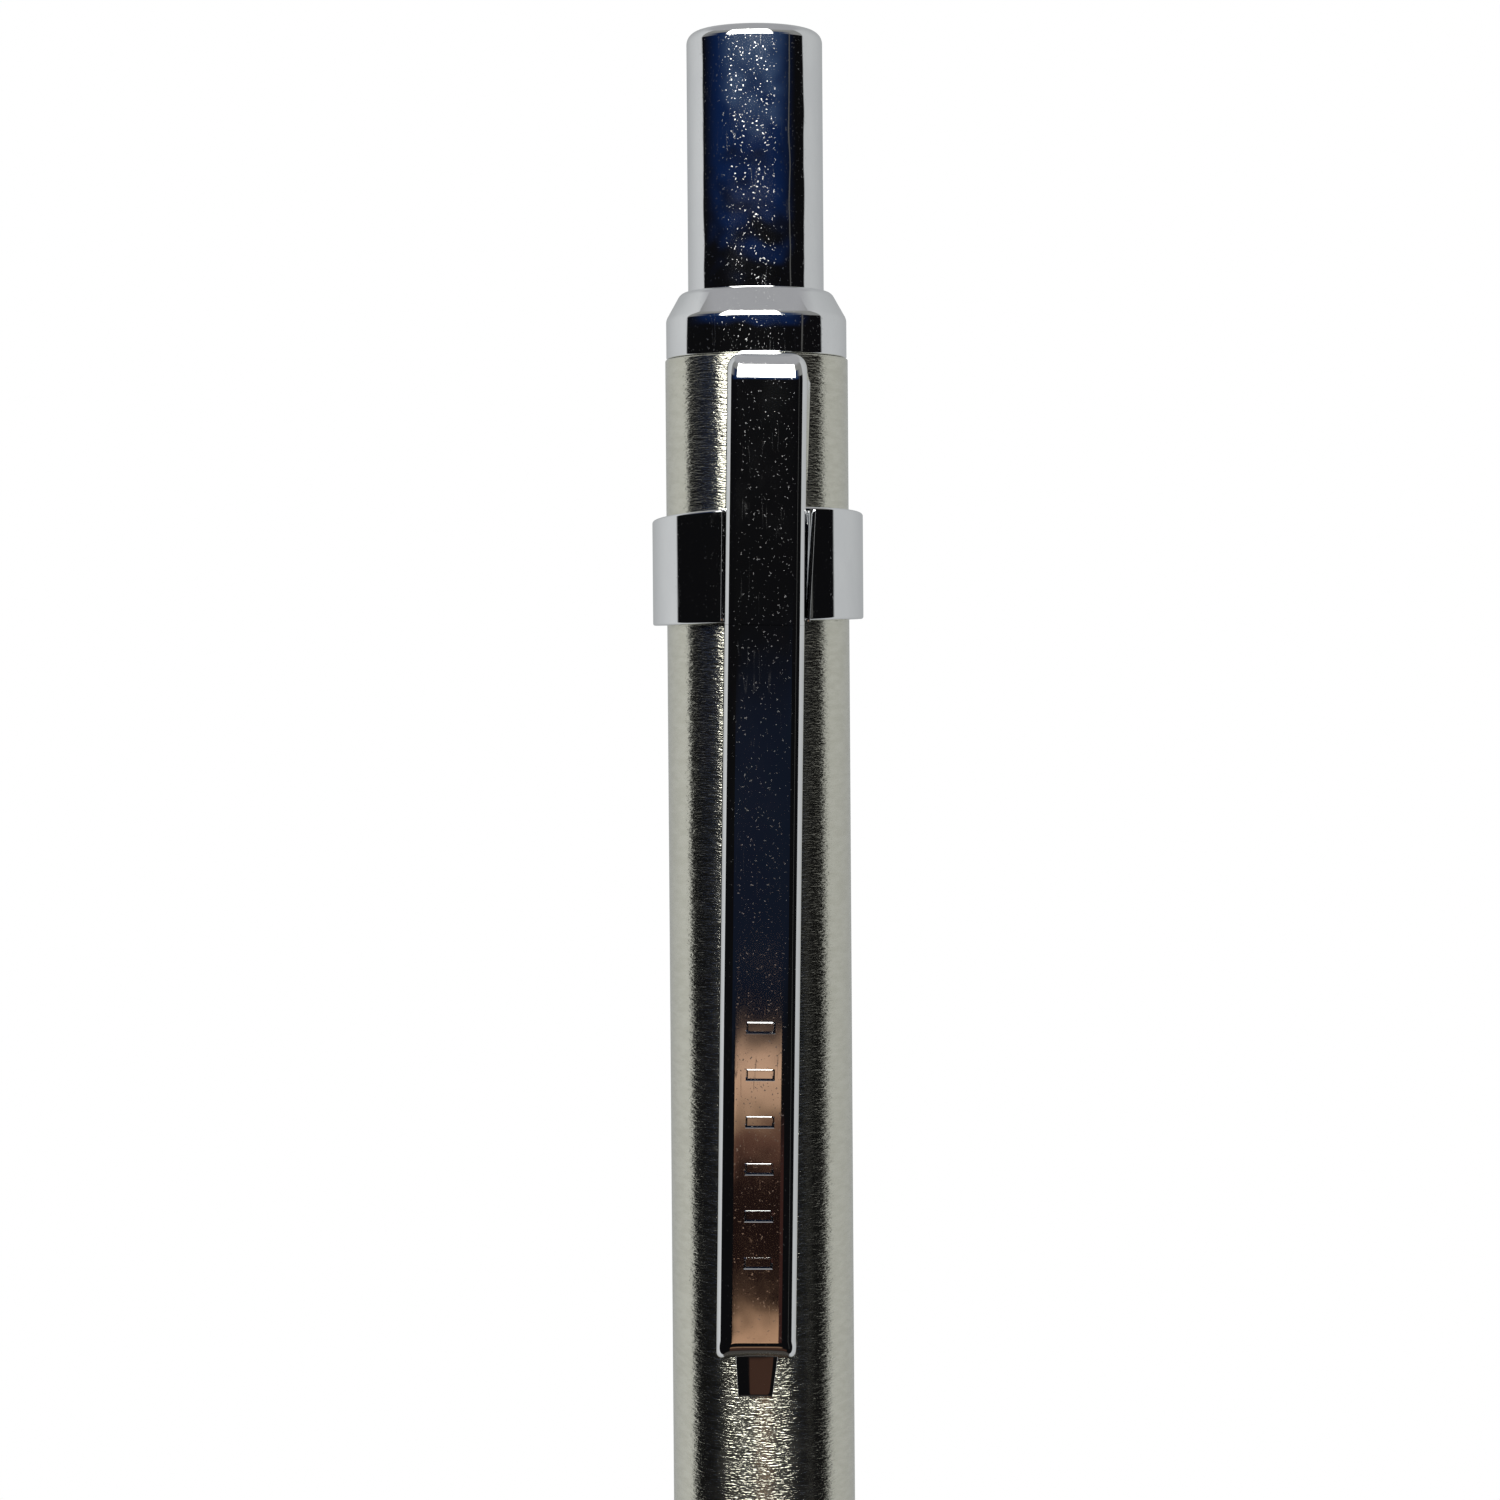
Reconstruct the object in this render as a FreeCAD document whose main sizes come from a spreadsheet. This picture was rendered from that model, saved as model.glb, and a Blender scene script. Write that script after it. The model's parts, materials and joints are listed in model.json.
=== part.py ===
"""Clutch-type lead holder for 2 mm drawing leads, with a push button, a banded clip and a knurled grip.

Millimetres. The axis of the holder is Z, with the push button at the top. The origin is on the axis, in the
plane of the nose's front face, where the lead comes out. The clip is on the -Y side.

A spring pulls the chuck back into the nose, where a conical seat closes its three jaws on the lead. Pressing
the button carries the button, the lead tube and the chuck forward together, and the jaws spring open.
"""

import FreeCAD, Part

import os
import re

import Sketcher
from FreeCAD import Placement, Rotation, Vector

# Driving dimensions: alias, value in millimetres or degrees.
DIMENSIONS = (
    # outline of the assembled holder, heights measured from the nose's front face
    ("grip_start", 12.0),
    ("grip_end", 38.0),
    ("barrel_rear", 127.6),
    ("collar_top", 130.55),
    ("button_top", 141.9),
    # outer tube
    ("barrel_radius", 4.0),
    ("barrel_wall", 0.7),
    ("barrel_edge", 0.08),
    ("fit_gap", 0.02),
    # knurled grip
    ("grip_radius", 3.95),
    ("grip_bore", 2.9),
    ("groove_depth", 0.2),
    ("groove_width", 0.6),
    ("land_width", 1.1),
    # threaded joints, drawn at their plain diameters
    ("spigot_radius", 3.25),
    ("nose_spigot", 5.0),
    ("collar_spigot", 8.0),
    ("coupling_depth", 7.0),
    # nose and its pressed-in chuck seat
    ("nose_tip_radius", 2.75),
    ("nose_rear_radius", 3.8),
    ("nose_front_land", 3.0),
    ("nose_rear_land", 1.2),
    ("nose_bore", 2.35),
    ("nose_edge", 0.25),
    ("seat_length", 5.0),
    ("seat_mouth", 2.12),
    ("seat_throat", 1.8),
    ("seat_taper", 3.2),
    # chuck
    ("jaw_front", -2.6),
    ("jaw_root", 12.0),
    ("jaw_nose", 1.45),
    ("jaw_head", 2.06),
    ("jaw_waist", 1.7),
    ("jaw_grip", 1.02),
    ("jaw_relief", 1.3),
    ("jaw_spread", 111.0),
    ("chuck_base_radius", 2.1),
    ("chuck_base_length", 6.0),
    ("chuck_base_web", 2.0),
    # lead
    ("lead_radius", 1.0),
    ("lead_front", -8.4),
    ("lead_cone", 3.4),
    ("lead_point", 0.2),
    ("lead_rear", 112.0),
    # lead tube, its spring and its collars
    ("tube_radius", 1.55),
    ("tube_bore", 1.2),
    ("tube_rear", 131.0),
    ("spring_front", 43.0),
    ("spring_rear", 71.0),
    ("spring_pitch", 1.9),
    ("spring_mean", 2.25),
    ("spring_wire", 0.24),
    ("coupling_flange", 2.0),
    ("coupling_bore", 1.75),
    ("coupling_wall", 0.6),
    ("spring_collar_radius", 2.9),
    ("spring_collar_length", 3.0),
    ("sleeve_front", 126.6),
    ("sleeve_length", 3.6),
    ("sleeve_radius", 1.78),
    ("sleeve_slot", 50.0),
    # push button and the lead pointer inside it
    ("button_radius", 2.97),
    ("button_wall", 0.4),
    ("button_crown", 0.7),
    ("button_edge", 0.45),
    ("button_skirt", 7.4),
    ("pointer_front", 126.2),
    ("pointer_socket", 1.83),
    ("pointer_step", 132.2),
    ("pointer_mouth", 1.15),
    ("pointer_end", 0.3),
    ("pointer_depth", 7.0),
    ("blade_thickness", 0.35),
    ("blade_width", 1.5),
    ("blade_length", 6.0),
    ("blade_offset", 0.9),
    # rear collar
    ("collar_radius", 3.95),
    ("collar_bore", 3.02),
    ("collar_chamfer", 1.2),
    ("collar_chamfer_depth", 0.67),
    ("collar_edge", 0.25),
    # pocket clip
    ("clip_stand", 6.2),
    ("clip_width", 3.4),
    ("clip_sheet", 0.45),
    ("clip_corner", 0.7),
    ("clip_depth", 1.3),
    ("clip_foot", 84.65),
    ("clip_top", 127.5),
    ("clip_shoulder", 1.5),
    ("clip_split", 115.95),
    ("clip_gap", 0.06),
    ("clip_skew", 1.06),
    ("skew_height", 118.4),
    ("tongue_width", 1.8),
    ("tongue_tip", 1.45),
    ("tongue_length", 1.85),
    ("tongue_sheet", 0.4),
    ("mark_count", 6),
    ("mark_pitch", 2.0),
    ("mark_first", 4.0),
    ("mark_width", 1.3),
    ("mark_height", 0.5),
    ("mark_depth", 0.12),
    ("band_radius", 4.62),
    ("band_sheet", 0.42),
    ("band_foot", 116.11),
    ("band_height", 4.58),
    ("band_flare", 0.3),
    ("band_tilt", 1.5),
)
FUNCTIONS = ("sin", "cos", "tan", "sqrt")
JAWS = 3
FULL_TURN = 360
MATCH = 1e-4

document = FreeCAD.newDocument("LeadHolder")
sheet = document.addObject("Spreadsheet::Sheet", "Dims")
for row, (alias, size) in enumerate(DIMENSIONS, 1):
    sheet.set(f"A{row}", alias)
    sheet.set(f"B{row}", str(size))
    sheet.setAlias(f"B{row}", alias)
document.recompute()

finished = []


def bound(words):
    """An expression on the sheet's cells, from words that use their aliases."""
    return re.sub(r"[a-z_]+", lambda w: w[0] if w[0] in FUNCTIONS else f"Dims.{w[0]}", words)


def number(words):
    """The value of such an expression."""
    found = sheet.evalExpression(bound(words))
    return float(getattr(found, "Value", found))


def new_body(label, finish=True):
    body = document.addObject("PartDesign::Body", label)
    body.Label = label
    if finish:
        finished.append(body)
    return body


def origin_plane(body, role):
    return next(part for part in body.Origin.OriginFeatures if part.Role == role)


def new_sketch(body, role, offset=None):
    """A sketch on one of the body's own planes, moved along the plane's normal by offset."""
    sketch = body.newObject("Sketcher::SketchObject", f"{body.Name}_sketch")
    sketch.AttachmentSupport = [(origin_plane(body, role), "")]
    sketch.MapMode = "FlatFace"
    if offset:
        sketch.setExpression("AttachmentOffset.Base.z", bound(offset))
    return sketch


def hold(sketch, kind, point, words):
    """Holds one coordinate of a point of the sketch at the value of an expression."""
    geometry, end = point
    index = sketch.addConstraint(Sketcher.Constraint(kind, -1, 1, geometry, end, number(words)))
    sketch.setExpression(f"Constraints[{index}]", bound(words))


def outline(body, role, corners, offset=None):
    """A closed sketch of straight edges through corners, each a pair of expressions, across and up."""
    sketch = new_sketch(body, role, offset)
    points = [Vector(number(across), number(up), 0) for across, up in corners]
    count = len(points)
    for i, point in enumerate(points):
        sketch.addGeometry(Part.LineSegment(point, points[(i + 1) % count]), False)
    for i in range(count):
        sketch.addConstraint(Sketcher.Constraint("Coincident", i, 2, (i + 1) % count, 1))
    for i, (across, up) in enumerate(corners):
        hold(sketch, "DistanceX", (i, 1), across)
        hold(sketch, "DistanceY", (i, 1), up)
    return sketch


def disc(body, role, radius, offset=None, centre=("0", "0")):
    """A sketch of one circle."""
    sketch = new_sketch(body, role, offset)
    middle = Vector(number(centre[0]), number(centre[1]), 0)
    sketch.addGeometry(Part.Circle(middle, Vector(0, 0, 1), number(radius)), False)
    hold(sketch, "DistanceX", (0, 3), centre[0])
    hold(sketch, "DistanceY", (0, 3), centre[1])
    index = sketch.addConstraint(Sketcher.Constraint("Radius", 0, number(radius)))
    sketch.setExpression(f"Constraints[{index}]", bound(radius))
    return sketch


def revolve(body, sketch, kind="PartDesign::Revolution", angle=None):
    """A full turn about Z, or with an angle given, half of it to each side of the sketch."""
    turn = body.newObject(kind, f"{body.Name}_turn")
    turn.Profile = sketch
    turn.ReferenceAxis = (sketch, ["V_Axis"])
    turn.Angle = FULL_TURN
    if angle:
        turn.Midplane = True
        turn.setExpression("Angle", bound(angle))
    return turn


def pad(body, sketch, length, midplane=False, reverse=False):
    feature = body.newObject("PartDesign::Pad", f"{body.Name}_pad")
    feature.Profile = sketch
    feature.setExpression("Length", bound(length))
    feature.Midplane = midplane
    feature.Reversed = reverse
    return feature


def pocket(body, sketch, length=None, midplane=False, reverse=False):
    """A cut of a given length, or right through the body. It stops the script if it removes nothing."""
    document.recompute()
    before = body.Shape.Volume
    feature = body.newObject("PartDesign::Pocket", f"{body.Name}_pocket")
    feature.Profile = sketch
    feature.Midplane = midplane
    feature.Reversed = reverse
    if length:
        feature.setExpression("Length", bound(length))
    else:
        feature.Type = "ThroughAll"
    document.recompute()
    if body.Shape.Volume > before - MATCH:
        raise RuntimeError(f"{body.Label}: {feature.Name} cuts nothing")
    return feature


def dress(body, base, kind, size, wanted):
    """A fillet or chamfer on the edges of base that wanted(edge) picks."""
    document.recompute()
    names = [f"Edge{i}" for i, edge in enumerate(base.Shape.Edges, 1) if wanted(edge)]
    if not names:
        raise RuntimeError(f"{body.Label}: no edge to dress")
    feature = body.newObject(f"PartDesign::{kind}", f"{body.Name}_{kind.lower()}")
    feature.Base = (base, names)
    feature.setExpression("Radius" if kind == "Fillet" else "Size", bound(size))
    return feature


def ring_edge(*places):
    """Picks the round edges about Z at the given places, each a pair of expressions, radius and height."""
    wanted = [(number(radius), number(height)) for radius, height in places]

    def is_wanted(edge):
        curve = edge.Curve
        if not isinstance(curve, Part.Circle):
            return False
        return any(
            abs(curve.Radius - radius) < MATCH and abs(curve.Center.z - height) < MATCH
            for radius, height in wanted
        )

    return is_wanted


def lies_at(**where):
    """Picks the straight edges that run at the given coordinates, on either side, such as x=1.5."""

    def is_wanted(edge):
        ends = [vertex.Point for vertex in edge.Vertexes]
        return len(ends) == 2 and all(
            abs(getattr(ends[0], axis) - getattr(ends[1], axis)) < MATCH
            and abs(abs(getattr(ends[0], axis)) - abs(at)) < MATCH
            for axis, at in where.items()
        )

    return is_wanted


def turned(label, corners, finish=True):
    """A turned piece: its half section, as radius and height, revolved about Z."""
    body = new_body(label, finish)
    revolve(body, outline(body, "XZ_Plane", corners))
    return body


# --- Casing ---------------------------------------------------------------------------------------


def barrel_tube():
    bore = "barrel_radius - barrel_wall"
    body = turned(
        "barrel_tube",
        (
            (bore, "grip_end"),
            ("barrel_radius", "grip_end"),
            ("barrel_radius", "barrel_rear"),
            (bore, "barrel_rear"),
        ),
    )
    ends = ring_edge(("barrel_radius", "grip_end"), ("barrel_radius", "barrel_rear"))
    dress(body, body.Tip, "Chamfer", "barrel_edge", ends)


def rear_collar():
    """Screws into the barrel's rear end and guides the push button."""
    body = turned(
        "rear_collar",
        (
            ("collar_bore", "barrel_rear - collar_spigot"),
            ("spigot_radius", "barrel_rear - collar_spigot"),
            ("spigot_radius", "barrel_rear + fit_gap"),
            ("collar_radius", "barrel_rear + fit_gap"),
            ("collar_radius", "collar_top - collar_chamfer"),
            ("collar_radius - collar_chamfer_depth", "collar_top"),
            ("collar_bore", "collar_top"),
        ),
    )
    rim = ring_edge(("collar_radius - collar_chamfer_depth", "collar_top"))
    dress(body, body.Tip, "Fillet", "collar_edge", rim)


def grip_sleeve():
    """Plain lands at both ends of the knurled length, each set off by a groove."""
    low, high = "grip_start + land_width", "grip_end - land_width"
    floor = "grip_radius - groove_depth"
    turned(
        "grip_sleeve",
        (
            ("spigot_radius + fit_gap", "grip_start"),
            ("grip_radius", "grip_start"),
            ("grip_radius", low),
            (floor, low),
            (floor, f"{low} + groove_width"),
            ("grip_radius", f"{low} + groove_width"),
            ("grip_radius", f"{high} - groove_width"),
            (floor, f"{high} - groove_width"),
            (floor, high),
            ("grip_radius", high),
            ("grip_radius", "grip_end"),
            ("spigot_radius + fit_gap", "grip_end"),
            ("spigot_radius + fit_gap", "grip_end - coupling_depth"),
            ("grip_bore", "grip_end - coupling_depth"),
            ("grip_bore", "grip_start + nose_spigot + fit_gap"),
            ("spigot_radius + fit_gap", "grip_start + nose_spigot + fit_gap"),
        ),
    )


def nose_cone():
    """Screws into the grip's front end and holds the chuck seat."""
    body = turned(
        "nose_cone",
        (
            ("nose_bore + fit_gap", "0"),
            ("nose_tip_radius", "0"),
            ("nose_tip_radius", "nose_front_land"),
            ("nose_rear_radius", "grip_start - nose_rear_land"),
            ("nose_rear_radius", "grip_start"),
            ("spigot_radius", "grip_start"),
            ("spigot_radius", "grip_start + nose_spigot"),
            ("nose_bore + fit_gap", "grip_start + nose_spigot"),
        ),
    )
    dress(body, body.Tip, "Fillet", "nose_edge", ring_edge(("nose_tip_radius", "0")))


def chuck_seat():
    """Steel ring pressed into the nose; its cone closes the jaws."""
    turned(
        "chuck_seat",
        (
            ("seat_mouth", "fit_gap"),
            ("nose_bore", "fit_gap"),
            ("nose_bore", "seat_length"),
            ("seat_throat", "seat_length"),
            ("seat_throat", "seat_taper"),
        ),
    )


def front_coupling():
    """Brass nipple that joins the grip to the barrel. Its flange carries the spring's front end."""
    turned(
        "front_coupling",
        (
            ("spigot_radius - coupling_wall", "grip_end - coupling_depth + fit_gap"),
            ("spigot_radius", "grip_end - coupling_depth + fit_gap"),
            ("spigot_radius", "spring_front"),
            ("coupling_bore", "spring_front"),
            ("coupling_bore", "spring_front - coupling_flange"),
            ("spigot_radius - coupling_wall", "spring_front - coupling_flange"),
        ),
    )


# --- Chuck and lead -------------------------------------------------------------------------------


def chuck_jaws():
    """Three alike jaws. Each is a sector of one turned collet, with a gap between it and the next."""
    for i in range(JAWS):
        body = new_body(f"chuck_jaw_{i + 1}")
        section = outline(
            body,
            "XZ_Plane",
            (
                ("jaw_grip", "jaw_front"),
                ("jaw_nose", "jaw_front"),
                ("jaw_head", "jaw_front + 1.1"),
                ("jaw_head", "-0.1"),
                ("jaw_waist", "seat_taper - 0.1"),
                ("jaw_waist", "jaw_root"),
                ("jaw_relief", "jaw_root"),
                ("jaw_relief", "seat_taper"),
                ("jaw_grip", "seat_taper - 0.6"),
            ),
        )
        revolve(body, section, angle="jaw_spread")
        body.Placement = Placement(Vector(), Rotation(Vector(0, 0, 1), i * FULL_TURN / JAWS))


def chuck_base():
    """Brass ring that the jaws spring from, pressed onto the lead tube."""
    turned(
        "chuck_base",
        (
            ("jaw_relief", "jaw_root + fit_gap"),
            ("chuck_base_radius", "jaw_root + fit_gap"),
            ("chuck_base_radius", "jaw_root + chuck_base_length"),
            ("tube_radius + fit_gap", "jaw_root + chuck_base_length"),
            ("tube_radius + fit_gap", "jaw_root + chuck_base_web"),
            ("jaw_relief", "jaw_root + chuck_base_web"),
        ),
    )


def lead():
    """Drawing lead, sharpened to a cone with a small flat point."""
    turned(
        "lead",
        (
            ("0", "lead_front"),
            ("lead_point", "lead_front"),
            ("lead_radius", "lead_front + lead_cone"),
            ("lead_radius", "lead_rear"),
            ("0", "lead_rear"),
        ),
    )


# --- Lead tube and spring -------------------------------------------------------------------------


def lead_tube():
    front = "jaw_root + chuck_base_web + fit_gap"
    turned(
        "lead_tube",
        (
            ("tube_bore", front),
            ("tube_radius", front),
            ("tube_radius", "tube_rear"),
            ("tube_bore", "tube_rear"),
        ),
    )


def spring_collar():
    """Ring crimped on the lead tube. The spring pushes it rearwards."""
    rear = "spring_rear + spring_collar_length"
    body = turned(
        "spring_collar",
        (
            ("tube_radius + fit_gap", "spring_rear"),
            ("spring_collar_radius", "spring_rear"),
            ("spring_collar_radius", rear),
            ("tube_radius + fit_gap", rear),
        ),
    )
    dress(body, body.Tip, "Chamfer", "nose_edge", ring_edge(("spring_collar_radius", rear)))


def return_spring():
    """Compression spring between the coupling's flange and the spring collar."""
    body = new_body("return_spring")
    start = "spring_front + spring_wire + fit_gap"
    wire = disc(body, "XZ_Plane", "spring_wire", centre=("spring_mean", start))
    coil = body.newObject("PartDesign::AdditiveHelix", f"{body.Name}_coil")
    coil.Profile = wire
    coil.ReferenceAxis = (wire, ["V_Axis"])
    coil.Mode = "pitch-height-angle"
    coil.setExpression("Pitch", bound("spring_pitch"))
    coil.setExpression("Height", bound("spring_rear - spring_front - 2 * spring_wire - 2 * fit_gap"))


def friction_sleeve():
    """Slotted spring sleeve on the lead tube's rear end, which the push button is pushed onto."""
    body = new_body("friction_sleeve")
    section = outline(
        body,
        "XZ_Plane",
        (
            ("tube_radius + fit_gap", "sleeve_front"),
            ("sleeve_radius", "sleeve_front"),
            ("sleeve_radius", "sleeve_front + sleeve_length"),
            ("tube_radius + fit_gap", "sleeve_front + sleeve_length"),
        ),
    )
    revolve(body, section, angle="360 - sleeve_slot")


# --- Push button ----------------------------------------------------------------------------------


def push_button():
    inside = "button_radius - button_wall"
    foot = "collar_top - button_skirt"
    body = turned(
        "push_button",
        (
            (inside, foot),
            ("button_radius", foot),
            ("button_radius", "button_top"),
            ("0", "button_top"),
            ("0", "button_top - button_crown"),
            (inside, "button_top - button_crown"),
        ),
    )
    dress(body, body.Tip, "Fillet", "button_edge", ring_edge(("button_radius", "button_top")))


def pointer_body():
    """Plastic insert in the button: a socket for the lead tube, then the cone of a small lead pointer."""
    side = "button_radius - button_wall - fit_gap"
    top = "button_top - button_crown - fit_gap"
    body = turned(
        "pointer_body",
        (
            ("pointer_socket", "pointer_front"),
            (side, "pointer_front"),
            (side, top),
            ("0", top),
            ("0", "pointer_step + pointer_depth"),
            ("pointer_end", "pointer_step + pointer_depth"),
            ("pointer_mouth", "pointer_step"),
            ("pointer_socket", "pointer_step"),
        ),
    )
    edge = "blade_offset + blade_thickness + 2 * fit_gap"
    seat = outline(
        body,
        "XY_Plane",
        (
            ("blade_offset", "-blade_width / 2 - fit_gap"),
            (edge, "-blade_width / 2 - fit_gap"),
            (edge, "blade_width / 2 + fit_gap"),
            ("blade_offset", "blade_width / 2 + fit_gap"),
        ),
        offset="pointer_step",
    )
    pocket(body, seat, "blade_length + 2 * fit_gap", reverse=True)


def pointer_blade():
    """Flat steel cutter set in the side of the pointer's cone."""
    blade = document.addObject("Part::Box", "pointer_blade")
    blade.Label = "pointer_blade"
    blade.setExpression("Length", bound("blade_thickness"))
    blade.setExpression("Width", bound("blade_width"))
    blade.setExpression("Height", bound("blade_length"))
    blade.setExpression("Placement.Base.x", bound("blade_offset + fit_gap"))
    blade.setExpression("Placement.Base.y", bound("-blade_width / 2"))
    blade.setExpression("Placement.Base.z", bound("pointer_step + fit_gap"))
    finished.append(blade)


# --- Pocket clip ----------------------------------------------------------------------------------


def skewed():
    """The clip's placement: its channel leans sideways about Y, at the height where it crosses the axis."""
    pivot = Vector(0, 0, number("skew_height"))
    return Placement(Vector(), Rotation(Vector(0, 1, 0), number("clip_skew")), pivot)


def channel_block(body, side_view, bend=None, end=None):
    """A bar of the clip's outer width from its side view, with its outer edges rounded.

    With bend given, the face first turns a wide bend at that height. With end given, the three edges round
    the bar's end at that height are rounded too.
    """
    bar = pad(body, outline(body, "YZ_Plane", side_view), "clip_width", midplane=True)
    half, face = number("clip_width / 2"), number("clip_stand")
    if bend:
        bar = dress(body, bar, "Fillet", "clip_shoulder", lies_at(y=face, z=number(bend)))
    picks = [lies_at(x=half, y=face)]
    if end:
        picks += [lies_at(y=face, z=number(end)), lies_at(x=half, z=number(end))]
    return dress(body, bar, "Fillet", "clip_corner", lambda edge: any(pick(edge) for pick in picks))


def clip_arm():
    """The long spring arm below the band: a folded channel, closed at its foot, with a tongue."""
    body = new_body("clip_arm")
    inner_edge = "clip_depth - clip_stand"
    side_view = (
        ("-clip_stand", "clip_foot"),
        ("-clip_stand", "clip_split - fit_gap"),
        (inner_edge, "clip_split - fit_gap"),
        (inner_edge, "clip_foot"),
    )
    channel_block(body, side_view, end="clip_foot")
    hollow(body, "clip_foot + clip_sheet")
    tongue(body)
    marks(body)
    body.Placement = skewed()


def tongue(body):
    """The narrow end of the arm: a strip that slopes down to the barrel and rests beside it."""
    back = "-barrel_radius - clip_gap"
    tip = "clip_foot - tongue_length"
    front_view = (
        ("-tongue_tip / 2", tip),
        ("tongue_tip / 2", tip),
        ("tongue_width / 2", "clip_foot"),
        ("tongue_width / 2", "clip_foot + clip_sheet"),
        ("-tongue_width / 2", "clip_foot + clip_sheet"),
        ("-tongue_width / 2", "clip_foot"),
    )
    strip = outline(body, "XZ_Plane", front_view, offset="barrel_radius + clip_gap")
    pad(body, strip, "clip_stand - clip_depth - barrel_radius - clip_gap + tongue_sheet")
    outside = (
        (f"{back} - tongue_sheet", tip),
        ("clip_depth - clip_stand - tongue_sheet", "clip_foot"),
        ("-clip_stand", "clip_foot"),
        ("-clip_stand", f"{tip} - 1"),
        (f"{back} - tongue_sheet", f"{tip} - 1"),
    )
    pocket(body, outline(body, "YZ_Plane", outside), "clip_width", midplane=True)
    inside = (
        (back, f"{tip} + tongue_sheet"),
        ("clip_depth - clip_stand", "clip_foot + clip_sheet"),
        (back, "clip_foot + clip_sheet"),
    )
    pocket(body, outline(body, "YZ_Plane", inside), "clip_width", midplane=True)


def hollow(body, floor, length=None):
    """Takes out the inside of a channel upwards from floor, and leaves its sheet."""
    inside = "clip_width / 2 - clip_sheet"
    rectangle = outline(
        body,
        "XY_Plane",
        (
            (f"-{inside.replace(' - ', ' + ')}", "clip_sheet - clip_stand"),
            (inside, "clip_sheet - clip_stand"),
            (inside, "0"),
            (f"-{inside.replace(' - ', ' + ')}", "0"),
        ),
        offset=floor,
    )
    pocket(body, rectangle, length, reverse=True)


def marks(body):
    """A row of plain pressed bars across the lower end of the arm."""
    low = "clip_foot + mark_first"
    bar = outline(
        body,
        "XZ_Plane",
        (
            ("-mark_width / 2", low),
            ("mark_width / 2", low),
            ("mark_width / 2", f"{low} + mark_height"),
            ("-mark_width / 2", f"{low} + mark_height"),
        ),
        offset="clip_stand - mark_depth",
    )
    first = pocket(body, bar, reverse=True)
    row = body.newObject("PartDesign::LinearPattern", f"{body.Name}_marks")
    row.Originals = [first]
    row.Direction = (bar, ["V_Axis"])
    row.Mode = "Spacing"
    row.setExpression("Offset", bound("mark_pitch"))
    row.setExpression("Occurrences", bound("mark_count"))
    body.Tip = row


def clip_band():
    """The clip's fixed part: the band round the barrel, and the channel above it down to the arm."""
    channel = new_body("clip_root", finish=False)
    inner_edge = "clip_depth - clip_stand"
    seat = "-barrel_radius - clip_gap"
    side_view = (
        ("-clip_stand", "clip_split"),
        ("-clip_stand", "clip_top"),
        (seat, "clip_top"),
        (seat, "clip_top - clip_sheet"),
        (inner_edge, "clip_top - clip_shoulder"),
        (inner_edge, "band_foot + band_height"),
        ("-band_radius + band_sheet", "band_foot + band_height"),
        ("-band_radius + band_sheet", "clip_split"),
    )
    channel_block(channel, side_view, bend="clip_top")
    hollow(channel, "clip_split", "clip_top - clip_split - 2 * clip_sheet")
    channel.Placement = skewed()

    ring = new_body("clip_ring", finish=False)
    wide = "band_radius"
    ring_side = (
        ("-band_radius", "0"),
        ("0", "0"),
        (wide, "0"),
        (wide, "band_height"),
        ("0", "band_height"),
        ("-band_radius", "band_height + band_flare"),
    )
    pad(ring, outline(ring, "YZ_Plane", ring_side), "2 * band_radius", midplane=True)
    wall = new_sketch(ring, "XY_Plane", "-1")
    for radius in (number("band_radius"), 2 * number("band_radius")):
        wall.addGeometry(Part.Circle(Vector(), Vector(0, 0, 1), radius), False)
    for i, radius in enumerate(("band_radius", "2 * band_radius")):
        wall.addConstraint(Sketcher.Constraint("Coincident", i, 3, -1, 1))
        index = wall.addConstraint(Sketcher.Constraint("Radius", i, number(radius)))
        wall.setExpression(f"Constraints[{index}]", bound(radius))
    pocket(ring, wall, reverse=True)
    pocket(ring, disc(ring, "XY_Plane", "band_radius - band_sheet", "-1"), reverse=True)
    tilt = Rotation(Vector(0, 1, 0), -number("band_tilt"))
    ring.Placement = Placement(Vector(0, 0, number("band_foot")), tilt)

    joined = document.addObject("Part::Fuse", "clip_band")
    joined.Label = "clip_band"
    joined.Base = ring
    joined.Tool = channel
    joined.Refine = True
    finished.append(joined)


def check_and_write():
    """Stops if any object failed, then writes one STEP file for each finished piece."""
    document.recompute()
    for item in document.Objects:
        if "Invalid" in item.State or "Error" in item.State:
            raise RuntimeError(f"{item.Label} failed: {item.State}")
    os.makedirs("parts", exist_ok=True)
    for item in finished:
        shape = item.Shape
        if shape.isNull() or not shape.isValid() or not shape.Solids:
            raise RuntimeError(f"{item.Label} has no valid solid")
        shape.exportStep(f"parts/{item.Label}.step")
        size = shape.BoundBox
        print(f"{item.Label}: {shape.Volume:.2f} mm3, z {size.ZMin:.2f} to {size.ZMax:.2f}")


barrel_tube()
rear_collar()
grip_sleeve()
nose_cone()
chuck_seat()
front_coupling()
chuck_jaws()
chuck_base()
lead()
lead_tube()
spring_collar()
return_spring()
friction_sleeve()
push_button()
pointer_body()
pointer_blade()
clip_arm()
clip_band()
check_and_write()
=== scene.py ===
"""Looks for the lead holder: smooth visible pieces, procedural metals, and a light studio."""

import json
import math

import bmesh
import bpy
from mathutils import Matrix, Vector


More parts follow.
